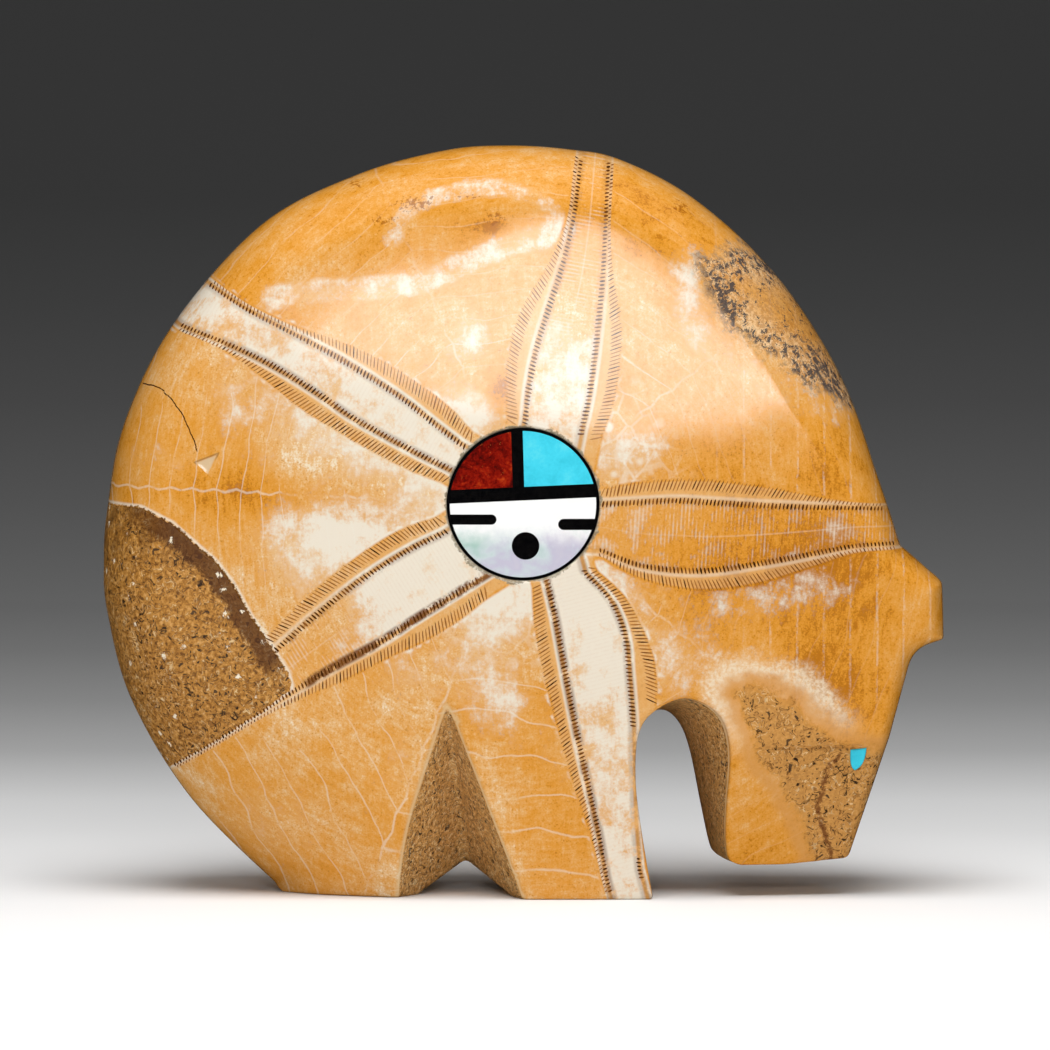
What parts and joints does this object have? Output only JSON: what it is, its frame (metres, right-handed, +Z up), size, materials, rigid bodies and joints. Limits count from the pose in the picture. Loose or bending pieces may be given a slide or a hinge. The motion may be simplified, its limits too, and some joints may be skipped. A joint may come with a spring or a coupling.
{
  "type": "bear fetish",
  "caption": "Standing bear carved in one piece from a fossil sea biscuit, with turquoise eyes and a round stone and shell inlay on one side.",
  "frame": {"origin": "on the ground under the middle of the carving's length and thickness", "axes": "+X from the rump towards the head, +Z up, and -Y out of the inlaid face, the bear's right side"},
  "size_m": [0.0886, 0.027, 0.0789],
  "materials": {
    "fossil": "polished",
    "turquoise": "polished",
    "jet": "polished",
    "red_stone": "polished",
    "mother_of_pearl": "pearly polish"
  },
  "bodies": {
    "root": {"bear_body": "fossil", "right_eye": "turquoise", "left_eye": "turquoise", "inlay_rim": "jet", "inlay_red_stone": "red_stone", "inlay_turquoise_stone": "turquoise", "inlay_upright_bar": "jet", "inlay_crossbar": "jet", "inlay_shell_face": "mother_of_pearl", "inlay_rear_slit": "jet", "inlay_front_slit": "jet", "inlay_mouth": "jet"}
  },
  "joints": []
}
